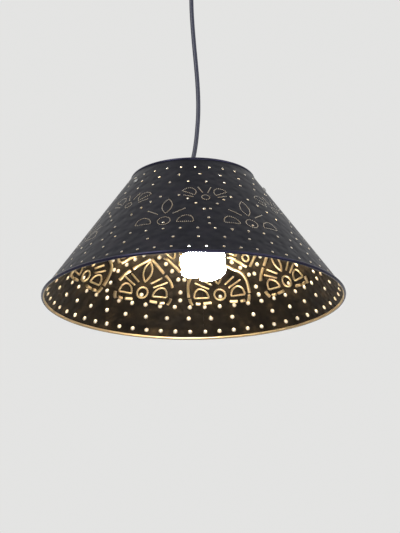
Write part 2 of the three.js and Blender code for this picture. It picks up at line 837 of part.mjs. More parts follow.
const holder = new THREE.Group();
holder.position.set(holderShift, 0, holderTop);
holder.rotation.y = -lean;
holder.add(
  piece('holder_nipple', holderNipple(), ...finishes.darkPlastic),
  piece('holder_cap', holderCap(), ...finishes.darkPlastic),
  piece('holder_core', holderCore(), ...finishes.ceramic),
  piece('centre_contact', centreContact(), ...finishes.brass),
  piece('screw_shell', screwShell(), ...finishes.brass),
  piece('holder_sleeve', holderSleeve(), ...finishes.darkPlastic),
  piece('upper_shade_ring', upperShadeRing(), ...finishes.darkPlastic),
  piece('lower_shade_ring', lowerShadeRing(), ...finishes.darkPlastic),
  piece('bulb_tip', bulbTip(), ...finishes.steel),
  piece('bulb_insulator', bulbInsulator(), ...finishes.darkPlastic),
  piece('bulb_cap', bulbCap(), ...finishes.steel),
  piece('ballast_housing', ballastHousing(), ...finishes.whitePlastic),
  piece('ballast_lid', ballastLid(), ...finishes.whitePlastic),
  piece('spiral_tube', spiralTube(), ...finishes.litGlass),
);

pendant.add(holder);
lamp.add(pendant);

export default lamp;
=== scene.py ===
"""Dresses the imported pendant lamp: its pierced and embossed shade, rims, holder, bulb, cord and
ceiling fitting. Metres, +Z up, in the frame of the solids."""

import json
import math

import bmesh
import bpy
from mathutils import Matrix, Vector, noise


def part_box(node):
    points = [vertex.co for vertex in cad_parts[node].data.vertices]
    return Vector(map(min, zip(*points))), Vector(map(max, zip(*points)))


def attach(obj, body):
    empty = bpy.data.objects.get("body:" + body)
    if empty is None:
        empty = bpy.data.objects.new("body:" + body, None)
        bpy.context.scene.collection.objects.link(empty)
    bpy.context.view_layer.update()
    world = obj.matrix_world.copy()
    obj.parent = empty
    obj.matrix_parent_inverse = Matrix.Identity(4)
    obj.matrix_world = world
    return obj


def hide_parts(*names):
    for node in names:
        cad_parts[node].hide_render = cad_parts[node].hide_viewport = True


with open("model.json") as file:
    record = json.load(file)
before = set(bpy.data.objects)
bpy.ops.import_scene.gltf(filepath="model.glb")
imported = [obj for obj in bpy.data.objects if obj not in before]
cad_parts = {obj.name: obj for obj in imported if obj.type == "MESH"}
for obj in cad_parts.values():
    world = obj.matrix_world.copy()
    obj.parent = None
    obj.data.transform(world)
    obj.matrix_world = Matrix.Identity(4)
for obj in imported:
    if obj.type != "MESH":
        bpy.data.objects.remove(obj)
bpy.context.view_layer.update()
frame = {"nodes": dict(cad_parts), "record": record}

MM = 0.001

# Shade
RIM_PLANE = -0.520
RIM_RADIUS = 0.1976
CROWN_RADIUS = 0.0816
SHADE_HEIGHT = 0.1646
RIM_WIRE = 0.00205
CROWN_WIRE = 0.0019
RIM_RISE = 0.0024
SHEET = 0.0009
HALF_ANGLE = math.atan2(RIM_RADIUS - CROWN_RADIUS, SHADE_HEIGHT)
SLOPE = math.hypot(RIM_RADIUS - CROWN_RADIUS, SHADE_HEIGHT)
SEAM_ANGLE = 177
SEAM_WIDTH = 0.009
SEAM_SHEET = 0.0007
SEAM_LIFT = 0.0006
SEAM_MARGIN = 0.004
SHADE_STEPS = 240

# Pierced and embossed pattern: angles in degrees round the shade, lengths in millimetres
FLOWER_ANGLES = (-13, 27, 77, 126, 166.5, 207, 247, 297)
LOWER_RISE = 64.5
UPPER_RISE = 113
UPPER_SCALE = 0.85
UPPER_TURN = 33
HOLE_RADIUS = 1.7
PRICK_RADIUS = 0.75
PRICK_STEP = 2.4
PRICK_GAP = 1.3
HOLE_GAP = 2.5
PRICK_CELL = 3
RIM_MARGIN = 6
SHEET_TRIM = 0.8
WANDER = 0.6
WANDER_PACE = 1.7
WANDER_TURN = 0.5
RIDGE_RADIUS = 1.6
RIDGE_BEADS = (1.0, 0.6)
BAR_RADIUS = 2.2
BAR_STEP = 2.5
RIDGE_SUNK = 0.35
CRATER = [(1.65, -0.3), (3.1, -0.42), (2.4, -1), (1.85, -1.3), (1.6, -0.95)]
ROWS = [
    {"rise": 10, "count": 57, "start": -1.5},
    {"rise": 29.5, "count": 36, "start": -17.8},
    {"rise": 47, "count": 50, "start": 1.9},
    {"rise": 149, "count": 30, "start": -3},
    {"rise": 165, "count": 24, "start": -9.8},
    {"rise": 182, "count": 32, "start": -9.2},
]

# Holder, which leans in the shade
HOLDER_SHIFT = 0.0006
HOLDER_TOP = RIM_PLANE + 0.190
HOLDER_LEAN = math.radians(5)

# Cord, with the route of its solid
CORD_DIAMETER = 0.006
CORD_ROUTE = [
    (0.4, 192.3), (0.33, 194.6), (0.5, 197.2), (0.95, 200.4), (1.6, 204), (2.5, 208.5),
    (3.5, 214.5), (4.5, 221.5), (5.4, 229), (6.2, 237.5), (7.1, 248), (7.9, 260), (8.3, 273),
    (8.3, 288), (7.8, 304), (6.9, 321), (5.7, 338), (4.4, 355), (3.1, 372), (2, 388),
    (1.1, 403), (0.45, 417), (0.1, 429), (0, 438),
]

HOLDER = (
    Matrix.Translation((HOLDER_SHIFT, 0, HOLDER_TOP))
    @ Matrix.Rotation(-HOLDER_LEAN, 4, "Y")
)


# Camera, found from the photographed rims, cord and bulb
CAMERA_PLACE = (0, -1.97002, -1.11111)
CAMERA_YAW = 0.2545
CAMERA_PITCH = 17.936
CAMERA_ROLL = -0.513
CAMERA_LENS = 105.77
SENSOR_WIDTH = 36


def photo_camera():
    yaw, pitch, roll = (math.radians(a) for a in (CAMERA_YAW, CAMERA_PITCH, CAMERA_ROLL))
    ahead = Vector((math.sin(yaw) * math.cos(pitch), math.cos(yaw) * math.cos(pitch), math.sin(pitch)))
    right = ahead.cross(Vector((0, 0, 1))).normalized()
    up = right.cross(ahead)
    level_right = right * math.cos(roll) + up * math.sin(roll)
    level_up = up * math.cos(roll) - right * math.sin(roll)
    data = bpy.data.cameras.new("photo_camera")
    data.sensor_width = SENSOR_WIDTH
    data.lens = CAMERA_LENS
    data.clip_start = 0.05
    data.clip_end = 50
    camera = bpy.data.objects.new("photo_camera", data)
    turn = Matrix((level_right, level_up, -ahead)).transposed().to_4x4()
    camera.matrix_world = Matrix.Translation(CAMERA_PLACE) @ turn
    bpy.context.scene.collection.objects.link(camera)
    bpy.context.scene.camera = camera


# Making pieces
def piece(name, mesh, materials, body, replaced=()):
    """Adds a finished mesh to the scene, on its body and in place of the solids that it dresses."""
    made = bpy.data.objects.new(name, mesh)
    bpy.context.scene.collection.objects.link(made)
    for material in materials:
        mesh.materials.append(material)
    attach(made, body)
    if replaced:
        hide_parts(*replaced)
    return made


def shade_softly(bm, angle=35):
    limit = math.radians(angle)
    for face in bm.faces:
        face.smooth = True
    for edge in bm.edges:
        edge.smooth = len(edge.link_faces) == 2 and edge.calc_face_angle(0) < limit


def to_mesh(bm, name, angle=35):
    shade_softly(bm, angle)
    mesh = bpy.data.meshes.new(name)
    bm.to_mesh(mesh)
    bm.free()
    return mesh


def soften(bm, width, segments=2, angle=28):
    """Rounds every edge that is sharper than the angle."""
    sharp = [e for e in bm.edges if len(e.link_faces) == 2 and e.calc_face_angle(0) > math.radians(angle)]
    bmesh.ops.bevel(
        bm, geom=sharp, offset=width, segments=segments, profile=0.5, affect="EDGES", material=-1)


def turned(profile, steps=64, closed=False, place=None):
    """Spins [radius, height] points, in millimetres, about the upright axis."""
    bm = bmesh.new()
    verts = [bm.verts.new((r * MM, 0, z * MM)) for r, z in profile]
    edges = [bm.edges.new(pair) for pair in zip(verts, verts[1:])]
    if closed:
        edges.append(bm.edges.new((verts[-1], verts[0])))
    bmesh.ops.spin(
        bm, geom=verts + edges, cent=(0, 0, 0), axis=(0, 0, 1),
        angle=math.tau, steps=steps, use_merge=True, use_duplicate=False,
    )
    bmesh.ops.remove_doubles(bm, verts=bm.verts, dist=1e-6)
    bmesh.ops.recalc_face_normals(bm, faces=bm.faces)
    if place is not None:
        bmesh.ops.transform(bm, matrix=place, verts=bm.verts)
    return bm


def stamp(bm, template, matrix):
    """Adds a copy of a template mesh to bm, placed by matrix."""
    known = len(bm.verts)
    bm.from_mesh(template)
    bm.verts.ensure_lookup_table()
    bmesh.ops.transform(bm, matrix=matrix, verts=bm.verts[known:])


def template(bm, name):
    """Keeps a bmesh as a mesh, to be stamped or cut with."""
    mesh = bpy.data.meshes.new(name)
    bm.to_mesh(mesh)
    bm.free()
    return mesh


def evaluated_mesh(made):
    """The object's mesh with its modifiers applied."""
    graph = bpy.context.evaluated_depsgraph_get()
    return bpy.data.meshes.new_from_object(made.evaluated_get(graph))


def drop(made):
    bpy.data.objects.remove(made)


def tube(name, lines, radius, sides=2, beads=None, cyclic=False):
    """A mesh of round tubes along lines of points; beads gives each point's share of the radius."""
    curve = bpy.data.curves.new(name, "CURVE")
    curve.dimensions = "3D"
    curve.bevel_depth = radius
    curve.bevel_resolution = sides
    curve.use_fill_caps = True
    for points, closed in lines:
        spline = curve.splines.new("POLY")
        spline.points.add(len(points) - 1)
        for i, (spot, point) in enumerate(zip(spline.points, points)):
            spot.co = (*point, 1)
            spot.radius = beads[i % len(beads)] if beads else 1
        spline.use_cyclic_u = closed
    made = bpy.data.objects.new(name, curve)
    bpy.context.scene.collection.objects.link(made)
    mesh = evaluated_mesh(made)
    drop(made)
    bpy.data.curves.remove(curve)
    return mesh


def smoothed(points, step, closed=False):
    """Points at even steps along a Catmull-Rom curve through the given ones."""
    count = len(points)
    last = count if closed else count - 1
    fine = []
    for i in range(last):
        if closed:
            a, b, c, d = (Vector(points[(i + k) % count]) for k in (-1, 0, 1, 2))
        else:
            a, b, c, d = (Vector(points[min(max(i + k, 0), count - 1)]) for k in (-1, 0, 1, 2))
        for k in range(12):
            x = k / 12
            fine.append(0.5 * (2 * b + (c - a) * x + (2 * a - 5 * b + 4 * c - d) * x**2
                               + (3 * b - a - 3 * c + d) * x**3))
    fine.append(Vector(points[0] if closed else points[-1]))
    return even(fine, step, closed)


def even(points, step, closed=False):
    """Points at even steps along a line of short straight lengths."""
    lengths = [(q - p).length for p, q in zip(points, points[1:])]
    whole = sum(lengths)
    count = max(2, round(whole / step))
    spots = []
    for k in range(count if closed else count + 1):
        goal = whole * k / count
        i = 0
        while i < len(lengths) - 1 and goal > lengths[i]:
            goal -= lengths[i]
            i += 1
        share = goal / lengths[i] if lengths[i] else 0
        spots.append(points[i].lerp(points[i + 1], min(share, 1)))
    return spots


def cut_out(bm, punches):
    """The mesh of bm with the punches cut out of it."""
    made = bpy.data.objects.new("blank", template(bm, "blank"))
    cutter = bpy.data.objects.new("cutter", template(punches, "cutter"))
    for each in (made, cutter):
        bpy.context.scene.collection.objects.link(each)
    cut = made.modifiers.new("cut", "BOOLEAN")
    cut.operation = "DIFFERENCE"
    cut.solver = "MANIFOLD"
    cut.object = cutter
    bpy.context.view_layer.update()
    mesh = evaluated_mesh(made)
    drop(made)
    drop(cutter)
    done = bmesh.new()
    done.from_mesh(mesh)
    return done


def rod_punch(bm, radius, length, place, sides=24):
    bmesh.ops.create_cone(bm, cap_ends=True, segments=sides, radius1=radius * MM, radius2=radius * MM,
                          depth=length * MM, matrix=place)


def at(x, y, z):
    return Matrix.Translation((x * MM, y * MM, z * MM))


def lathe(name, profile, finish, body, node, steps=72, edge=0.3, place=HOLDER, closed=True):
    """A turned piece with softened edges."""
    bm = turned(profile, steps, closed)
    if edge:
        soften(bm, edge * MM)
    if place is not None:
        bmesh.ops.transform(bm, matrix=place, verts=bm.verts)
    return piece(name, to_mesh(bm, name), [finish], body, [node])


def grooved(bm, radius, every, depth):
    """Presses every few of the upright faces at a radius inwards, for the fingers."""
    sides = [f for f in bm.faces if abs(f.normal.z) < 0.1
             and abs(math.hypot(*f.calc_center_median().xy) - radius * MM) < 0.3 * MM]
    sides.sort(key=lambda f: math.atan2(f.calc_center_median().y, f.calc_center_median().x))
    bmesh.ops.inset_individual(bm, faces=sides[::every], thickness=0.15 * MM, depth=-depth * MM)


def threaded(name, inner, outer, low, high, turns, finish, body, node):
    """A thin sleeve with a rolled round thread."""
    pitch = (high - low) / (turns + 1)
    steps = 32
    bm = bmesh.new()
    waves = [(inner + (outer - inner) * (0.5 - 0.5 * math.cos(math.tau * i / 6)), low + pitch * i / 6)
             for i in range(7)]
    verts = [bm.verts.new((r * MM, 0, z * MM)) for r, z in waves]
    edges = [bm.edges.new(pair) for pair in zip(verts, verts[1:])]
    bmesh.ops.spin(bm, geom=verts + edges, cent=(0, 0, 0), axis=(0, 0, 1), dvec=(0, 0, pitch * MM / steps),
                   angle=math.tau * turns, steps=steps * turns, use_merge=False, use_duplicate=False)
    bmesh.ops.remove_doubles(bm, verts=bm.verts, dist=1e-6)
    bmesh.ops.recalc_face_normals(bm, faces=bm.faces)
    bmesh.ops.transform(bm, matrix=HOLDER, verts=bm.verts)
    bmesh.ops.solidify(bm, geom=bm.faces, thickness=0.25 * MM)
    bmesh.ops.recalc_face_normals(bm, faces=bm.faces)
    return piece(name, to_mesh(bm, name, 60), [finish], body, [node])


# Shade geometry
def radius_at(s):
    return RIM_RADIUS - s * math.sin(HALF_ANGLE)


def on_shade(t, s, h=0.0):
    """A point of the shade: angle t in radians, slope distance s, height h off the sheet's middle."""
    radius = radius_at(s) + h * math.cos(HALF_ANGLE)
    height = RIM_PLANE + RIM_RISE + s * math.cos(HALF_ANGLE) + h * math.sin(HALF_ANGLE)
    return Vector((radius * math.sin(t), -radius * math.cos(t), height))


def shade_place(t, s):
    """The frame of a spot on the sheet: x round it, y up the slope and z outwards."""
    around = Vector((math.cos(t), math.sin(t), 0))
    out = on_shade(t, s, 1) - on_shade(t, s)
    up = out.cross(around)
    return Matrix.Translation(on_shade(t, s)) @ Matrix((around, up, out)).transposed().to_4x4()


def rolled(point, degrees, rise, h=0.0):
    """Places a flat [x, y] point of a motif, in millimetres, on the shade."""
    s = (rise + point[1]) * MM
    t = math.radians(degrees) + point[0] * MM / radius_at(s)
    return on_shade(t, s, h)


def spot_on_shade(point, degrees, rise):
    s = (rise + point[1]) * MM
    return math.radians(degrees) + point[0] * MM / radius_at(s), s


# Motif, in millimetres from the centre of a flower: closed outlines and open strokes
PETAL = [(17, -3.5), (23, -3.6), (30, -3.6), (36.7, -3.5), (36.5, 1), (34.3, 6), (29.5, 9.7), (24.5, 9.2),
         (19.8, 6), (17.4, 1.5)]
TOP_PETAL = [(0, 16.5), (3.1, 20.5), (5.5, 25.5), (6.3, 31), (5.5, 37), (3, 42.3), (0, 46),
             (-3, 42.3), (-5.5, 37), (-6.3, 31), (-5.5, 25.5), (-3.1, 20.5)]
RAYS = [[(10, 15), (23.5, 24.5)], [(15, 9.5), (33, 18.5)]]
UPPER_RAYS = [[(3.5, 11), (8, 22)], [(16, 1), (27, 5)]]
FLOWER_RING = 8
UPPER_RING = 5
FLOWER_HOLE = (0, -3.6)
FRONT_FLOWERS = 2
WHOLE_ARCH = [[(1.2, 50), (12, 43.5), (24, 36), (36, 29), (41.5, 21), (44, 12), (45, -2)]]
BROKEN_ARCH = [[(1.2, 50), (12, 42), (24, 32)], [(28, 28.5), (36, 21), (42, 12)]]
CHEVRON = [(22, 54), (34, 45.5), (46.5, 35.5)]
UNDER_BARS = [[(14, -11), (25, -12.2)], [(30, -12.6), (36, -12)]]
HOOK = [(44, -5), (43.5, -9.5), (41.5, -14)]
OUTER_DOTS = [(12, 54), (24, 45.5), (35.5, 35.5), (47.5, 23.5)]
MIDLINE_DOTS = [57, 69]


def turned_points(points, degrees):
    c, s = math.cos(math.radians(degrees)), math.sin(math.radians(degrees))
    return [(x * c - y * s, x * s + y * c) for x, y in points]


def ring_points(radius, count):
    return [(radius * math.cos(math.tau * i / count), radius * math.sin(math.tau * i / count))
            for i in range(count)]


def mirrored(points):
    return [(-x, y) for x, y in points]


def lower_flower(arch, rays):
    """The outlines, rays and bars of a large flower."""
    outlines = [ring_points(FLOWER_RING, 16), PETAL, mirrored(PETAL), TOP_PETAL]
    rays = [r for ray in rays for r in (ray, mirrored(ray))]
    bars = [b for bar in arch + [CHEVRON, HOOK] + UNDER_BARS for b in (bar, mirrored(bar))]
    return outlines, rays, bars


def upper_flower():
    """The outlines and rays of a small flower, which has no bars."""
    petal = turned_points([(x * UPPER_SCALE, y * UPPER_SCALE) for x, y in PETAL], UPPER_TURN)
    outlines = [ring_points(UPPER_RING, 12), petal, mirrored(petal)]
    rays = [r for ray in UPPER_RAYS for r in (ray, mirrored(ray))]
    return outlines, rays, []


def midlines():
    """The angles halfway from each lower flower to the next."""
    following = FLOWER_ANGLES[1:] + (FLOWER_ANGLES[0] + 360,)
    return [(a + b) / 2 for a, b in zip(FLOWER_ANGLES, following)]


def flower_sites():
    """Angle, slope distance and motif of each flower; the photographed front ones have one ray a side."""
    for i, (degrees, midline) in enumerate(zip(FLOWER_ANGLES, midlines())):
        arch = BROKEN_ARCH if i % 2 else WHOLE_ARCH
        yield degrees, LOWER_RISE, lower_flower(arch, RAYS[:1] if i < FRONT_FLOWERS else RAYS)
        yield midline, UPPER_RISE, upper_flower()


def hole_spots():
    """Angle and slope distance of every round hole; the rows wander a little, as by hand."""
    spots = []
    for row in ROWS:
        for i in range(row["count"]):
            wander = WANDER * noise.noise(Vector((i * WANDER_PACE, row["rise"], 0)))
            spots.append((math.radians(row["start"] + i * 360 / row["count"] + wander * WANDER_TURN),
                          (row["rise"] + wander) * MM))
    for degrees, midline in zip(FLOWER_ANGLES, midlines()):
        spots.append(spot_on_shade(FLOWER_HOLE, degrees, LOWER_RISE))
        for x, y in OUTER_DOTS:
            spots.append(spot_on_shade((x, y), degrees, LOWER_RISE))
            spots.append(spot_on_shade((-x, y), degrees, LOWER_RISE))
        for rise in MIDLINE_DOTS:
            spots.append(spot_on_shade((0, 0), midline, rise))
    return spots


def prick_spots():
    """Angle and slope distance of the fine pricks that draw each outline."""
    spots = []
    for degrees, rise, (outlines, rays, _) in flower_sites():
        for outline in outlines:
            for point in smoothed(outline, PRICK_STEP, closed=True):
                spots.append(spot_on_shade(point, degrees, rise))
        for ray in rays:
            for point in even([Vector(p) for p in ray], PRICK_STEP * 0.8):
                spots.append(spot_on_shade(point, degrees, rise))
    return spots


def kept_apart(pricks, holes):
    """The pricks that lie clear of the round holes and of each other."""
    taken = {}

    def cell(point):
        return tuple(round(c / (PRICK_CELL * MM)) for c in point)

    def take(point, gap):
        taken.setdefault(cell(point), []).append((point, gap * MM))

    def clear(point):
        x, y, z = cell(point)
        cells = [(x + i, y + j, z + k) for i in (-1, 0, 1) for j in (-1, 0, 1) for k in (-1, 0, 1)]
        return all((point - other).length >= gap for c in cells for other, gap in taken.get(c, ()))

    for t, s in holes:
        take(on_shade(t, s), HOLE_GAP)
    kept = []
    for t, s in pricks:
        point = on_shade(t, s)
        if RIM_MARGIN * MM < s < SLOPE - RIM_MARGIN * MM and clear(point):
            take(point, PRICK_GAP)
            kept.append((t, s))
    return kept


def punch(name, radius, length, sides):
    """A round punch as a template, upright at the origin."""
    bm = bmesh.new()
    rod_punch(bm, radius, length, Matrix.Identity(4), sides)
    return template(bm, name)


def sheet_with_holes():
    """The cone of sheet, pierced by the rows of holes and by the pricks."""
    steps_up = 16
    low = SHEET_TRIM * MM
    high = SLOPE - SHEET_TRIM * MM
    slopes = [low + (high - low) * i / steps_up for i in range(steps_up + 1)]
    outer = [on_shade(0, s, SHEET / 2) for s in slopes]
    inner = [on_shade(0, s, -SHEET / 2) for s in slopes]
    profile = [(-p.y / MM, p.z / MM) for p in outer + inner[::-1]]
    punches = bmesh.new()
    round_punch = punch("round_punch", HOLE_RADIUS, 6, 12)
    for t, s in hole_spots():
        stamp(punches, round_punch, shade_place(t, s))
    fine_punch = punch("fine_punch", PRICK_RADIUS, 4, 5)
    for t, s in kept_apart(prick_spots(), hole_spots()):
        stamp(punches, fine_punch, shade_place(t, s))
    return cut_out(turned(profile, SHADE_STEPS, closed=True), punches)


def burrs():
    """The crater that the punch throws up round each hole on the inside."""
    crater = template(turned(CRATER, 12, closed=True), "crater")
    bm = bmesh.new()
    for t, s in hole_spots():
        stamp(bm, crater, shade_place(t, s))
    return bm


def ridge_mesh():
    """Raised lines on the inside: beaded outlines, plain rays and bars."""
    depth = (RIDGE_SUNK - RIDGE_RADIUS) * MM
    bar_depth = (RIDGE_SUNK - BAR_RADIUS) * MM
    beaded, plain = [], []
    for degrees, rise, (outlines, rays, bars) in flower_sites():
        for outline in outlines:
            loop = smoothed(outline, PRICK_STEP / 2, closed=True)
            if len(loop) % 2:
                loop.pop()
            beaded.append(([rolled(p, degrees, rise, depth) for p in loop], True))
        for ray in rays:
            line = even([Vector(p) for p in ray], PRICK_STEP / 2)
            beaded.append(([rolled(p, degrees, rise, depth) for p in line], False))
        for bar in bars:
            line = smoothed(bar, BAR_STEP)
            plain.append(([rolled(p, degrees, rise, bar_depth) for p in line], False))
    bm = bmesh.new()
    for mesh in (
        tube("beaded_lines", beaded, RIDGE_RADIUS * MM, sides=1, beads=RIDGE_BEADS),
        tube("plain_bars", plain, BAR_RADIUS * MM, sides=1),
    ):
        bm.from_mesh(mesh)
    bmesh.ops.remove_doubles(bm, verts=bm.verts, dist=1e-7)
    bmesh.ops.recalc_face_normals(bm, faces=bm.faces)
    return bm


def lap_seam():
    """The overlap where the sheet's two ends meet."""
    bm = bmesh.new()
    bmesh.ops.create_grid(bm, x_segments=6, y_segments=24, size=0.5)
    length = SLOPE - 2 * SEAM_MARGIN
    for vert in bm.verts:
        x = vert.co.x * SEAM_WIDTH
        s = (vert.co.y + 0.5) * length + SEAM_MARGIN
        vert.co = on_shade(math.radians(SEAM_ANGLE) + x / radius_at(s), s, -SHEET / 2 - SEAM_LIFT)
    bmesh.ops.recalc_face_normals(bm, faces=bm.faces)
    bmesh.ops.solidify(bm, geom=bm.faces, thickness=SEAM_SHEET)
    bmesh.ops.recalc_face_normals(bm, faces=bm.faces)
    return bm


def shade(materials):
    """The sheet with its outside, inside and cut edges, and what is raised on it."""
    outside, inside, ridge_metal, edge_metal, burr_metal = materials
    bm = sheet_with_holes()
    for face in bm.faces:
        middle = face.calc_center_median()
        flat = math.hypot(middle.x, middle.y)
        out = Vector((middle.x / flat * math.cos(HALF_ANGLE), middle.y / flat * math.cos(HALF_ANGLE),
                      math.sin(HALF_ANGLE)))
        facing = face.normal.dot(out)
        # The hole walls, facing neither out nor in, take the near-white edge finish, which is painted
        # light.
        face.material_index = 0 if facing > 0.5 else 1 if facing < -0.5 else 2
    piece("shade_sheet", to_mesh(bm, "shade_sheet"), [outside, inside, edge_metal], "pendant", ["shade"])
    piece("shade_ridges", to_mesh(ridge_mesh(), "shade_ridges", 60), [ridge_metal], "pendant")
    piece("shade_burrs", to_mesh(burrs(), "shade_burrs", 60), [burr_metal], "pendant")
    piece("shade_seam", to_mesh(lap_seam(), "shade_seam"), [inside], "pendant")


def bead(radius, wire, height):
    """A wired rim: a round section spun about the axis."""
    sides = 14
    profile = [(radius / MM + wire / MM * math.cos(math.tau * i / sides),
                height / MM + wire / MM * math.sin(math.tau * i / sides)) for i in range(sides)]
    return turned(profile, SHADE_STEPS, closed=True)


def rims(outside, inside):
    """The two wired edges: patina with a painted blue sheen facing out, rubbed brass with painted light
    facing in.
    """
    low = RIM_PLANE + RIM_RISE
    for name, node, radius, wire, height in (
        ("rim_bead", "bottom_rim_ring", RIM_RADIUS, RIM_WIRE, low),
        ("crown_bead", "top_rim_ring", CROWN_RADIUS, CROWN_WIRE, low + SHADE_HEIGHT),
    ):
        bm = bead(radius, wire, height)
        for face in bm.faces:
            middle = face.calc_center_median()
            # Inward faces take the brass with its painted light, the others the dark metal with its painted
            # blue sheen.
            face.material_index = int(face.normal.xy.dot(middle.xy.normalized()) < -0.25)
        piece(name, to_mesh(bm, name), [outside, inside], "pendant", [node])


# Spider, which carries the shade on the holder
HUB_BORE = 20.1
HUB_RADIUS = 32
HUB_TOP = -42.3
SPIDER_SHEET = 1.5
ARM_WIDTH = 12
ARM_TURNS = (102, 222, 342)
ARM_ROOT = 29.2
ARM_KNEE = 38
ARM_BEND = 2.5
TAB_RISE = 3
TAB_LENGTH = 17
STRAP_DEPTH = 1.8
RIVET_RADIUS = 1.7
RIVET_HEAD = 3.6
RIVET_DOME = 1.5
RIVET_SHARE = 0.55


def tab_top():
    """The slope distance of the arms' tabs, and the middle of the hub."""
    hub = HOLDER @ Vector((0, 0, (HUB_TOP - SPIDER_SHEET / 2) * MM))
    return (hub.z + TAB_RISE * MM - RIM_PLANE - RIM_RISE) / math.cos(HALF_ANGLE), hub


def arm_line(turn):
    """Side view of one arm as points out along it, with its bends rounded."""
    top, hub = tab_top()
    across = math.cos(math.radians(turn))
    climb = math.tan(HOLDER_LEAN) * across
    root = ARM_ROOT * MM
    knee = ARM_KNEE * MM
    bend = on_shade(0, top, -STRAP_DEPTH * MM)
    end = on_shade(0, top - TAB_LENGTH * MM, -STRAP_DEPTH * MM)
    corners = [
        Vector((root + hub.x * across, hub.z + root * climb)),
        Vector((knee + hub.x * across, hub.z + knee * climb)),
        Vector((-bend.y, bend.z)),
        Vector((-end.y, end.z)),
    ]
    line = [corners[0]]
    for before, corner, after in zip(corners, corners[1:], corners[2:]):
        a = corner + (before - corner).normalized() * ARM_BEND * MM
        b = corner + (after - corner).normalized() * ARM_BEND * MM
        line += [a.lerp(corner, k / 4).lerp(corner.lerp(b, k / 4), k / 4) for k in range(5)]
    line.append(corners[-1])
    return line


def arm(turn):
    """One bent strap of the spider, turned to its place."""
    strap = bmesh.new()
    line = arm_line(turn)
    low = [strap.verts.new((p.x, -ARM_WIDTH / 2 * MM, p.y)) for p in line]
    edges = [strap.edges.new(pair) for pair in zip(low, low[1:])]
    swept = bmesh.ops.extrude_edge_only(strap, edges=edges)["geom"]
    moved = [v for v in swept if isinstance(v, bmesh.types.BMVert)]
    bmesh.ops.translate(strap, vec=(0, ARM_WIDTH * MM, 0), verts=moved)
    bmesh.ops.recalc_face_normals(strap, faces=strap.faces)
    bmesh.ops.solidify(strap, geom=strap.faces, thickness=SPIDER_SHEET * MM)
    bmesh.ops.recalc_face_normals(strap, faces=strap.faces)
    middle = sum((v.co for v in strap.verts), Vector()) / len(strap.verts)
    goal = sum((Vector((p.x, 0, p.y)) for p in line), Vector()) / len(line)
    bmesh.ops.translate(strap, vec=goal - middle, verts=strap.verts)
    bmesh.ops.transform(strap, matrix=Matrix.Rotation(math.radians(turn), 4, "Z"), verts=strap.verts)
    return template(strap, "strap")


def spider(steel):
    hub = [(HUB_BORE, HUB_TOP - SPIDER_SHEET), (HUB_RADIUS, HUB_TOP - SPIDER_SHEET), (HUB_RADIUS, HUB_TOP),
           (HUB_BORE, HUB_TOP)]
    bm = turned(hub, 96, closed=True, place=HOLDER)
    for turn in ARM_TURNS:
        bm.from_mesh(arm(turn))
    soften(bm, 0.3 * MM)
    piece("spider_plate", to_mesh(bm, "spider_plate"), [steel], "pendant", ["spider"])


def rivets(steel):
    """Domed on the outside of the shade and flatter on the strap inside."""
    rise = tab_top()[0] - TAB_LENGTH * RIVET_SHARE * MM
    outer = SPIDER_SHEET / 2
    inner = -(STRAP_DEPTH + SPIDER_SHEET / 2 + 0.3)
    head = [(RIVET_HEAD * math.cos(math.radians(a)), outer + RIVET_DOME * math.sin(math.radians(a)))
            for a in range(0, 91, 15)]
    tail = [(RIVET_HEAD * 0.9 * math.cos(math.radians(a)), inner - RIVET_DOME * math.sin(math.radians(a)))
            for a in range(90, -1, -15)]
    profile = tail + [(RIVET_RADIUS, inner), (RIVET_RADIUS, outer)] + head
    for i, turn in enumerate(ARM_TURNS):
        place = shade_place(math.radians(turn + 90), rise)
        lathe(f"domed_rivet_{i + 1}", profile, steel, "pendant", f"spider_rivet_{i + 1}",
              steps=24, edge=0, place=place, closed=False)


# Holder: heights down its own axis, from the top of the nipple
def holder(finishes):
    black = finishes["black"]
    nipple = [(2.5, -13.3), (5, -13.3), (5, -9), (7.5, -9), (7.5, -4.5), (7.2, -3.4), (5.4, -0.5),
              (4.6, 0), (2.5, 0)]
    lathe("cord_nipple", nipple, black, "pendant", "holder_nipple", edge=0.2)
    cap_outer = [(20.8, -34.3), (20.8, -31.5), (20.4, -31), (20.4, -29.5), (20.8, -29), (20.8, -22.8)]
    cap_outer += [(9.98 + 10.82 * math.cos(math.radians(a)), -22.8 + 13.5 * math.sin(math.radians(a)))
                  for a in range(15, 91, 15)]
    cap_inner = [(8 + 10.9 * math.cos(math.radians(a)), -22.8 + 11.9 * math.sin(math.radians(a)))
                 for a in range(75, -1, -15)]
    cap = cap_outer + [(5.3, -9.3), (5.3, -10.8)] + cap_inner + [(18.9, -34.3)]
    lathe("cap_shell", cap, black, "pendant", "holder_cap", edge=0.15)
    core = [(0, -34.6), (16.3, -34.6), (16.6, -34.3), (16.6, -26.8), (16, -26.3), (0, -26.3)]
    lathe("ceramic_core", core, finishes["ceramic"], "pendant", "holder_core", edge=0,
          closed=False)
    sleeve = [(16.4, -64.3), (19.8, -64.3), (19.8, -50.5), (19.5, -50.2), (19.5, -49.9), (19.8, -49.6),
              (19.8, -34.6), (18.6, -34.6), (18.6, -25.3), (16.9, -25.3), (16.9, -34.9), (14.5, -34.9),
              (14.5, -36.7), (16.4, -36.7)]
    lathe("sleeve_body", sleeve, black, "pendant", "holder_sleeve", edge=0.25)
    threaded("shell_thread", 13.6, 14.2, -59.9, -34.9, 6, finishes["fittings"], "pendant", "screw_shell")
    for name, node, body, flip in (("upper_ring_nut", "upper_shade_ring", "pendant", 1),
                                   ("lower_ring_nut", "lower_shade_ring", "shade_ring", -1)):
        start = -42 if flip == 1 else -44.1
        bm = turned([(r, start + flip * z) for r, z in [
            (20.1, 0), (28, 0), (28, 2.6), (26.5, 3.5), (23, 5.2), (20.1, 5.2)]], 96, closed=True)
        soften(bm, 0.2 * MM)
        grooved(bm, 28, 3, 0.5)
        bmesh.ops.transform(bm, matrix=HOLDER, verts=bm.verts)
        piece(name, to_mesh(bm, name), [black], body, [node])


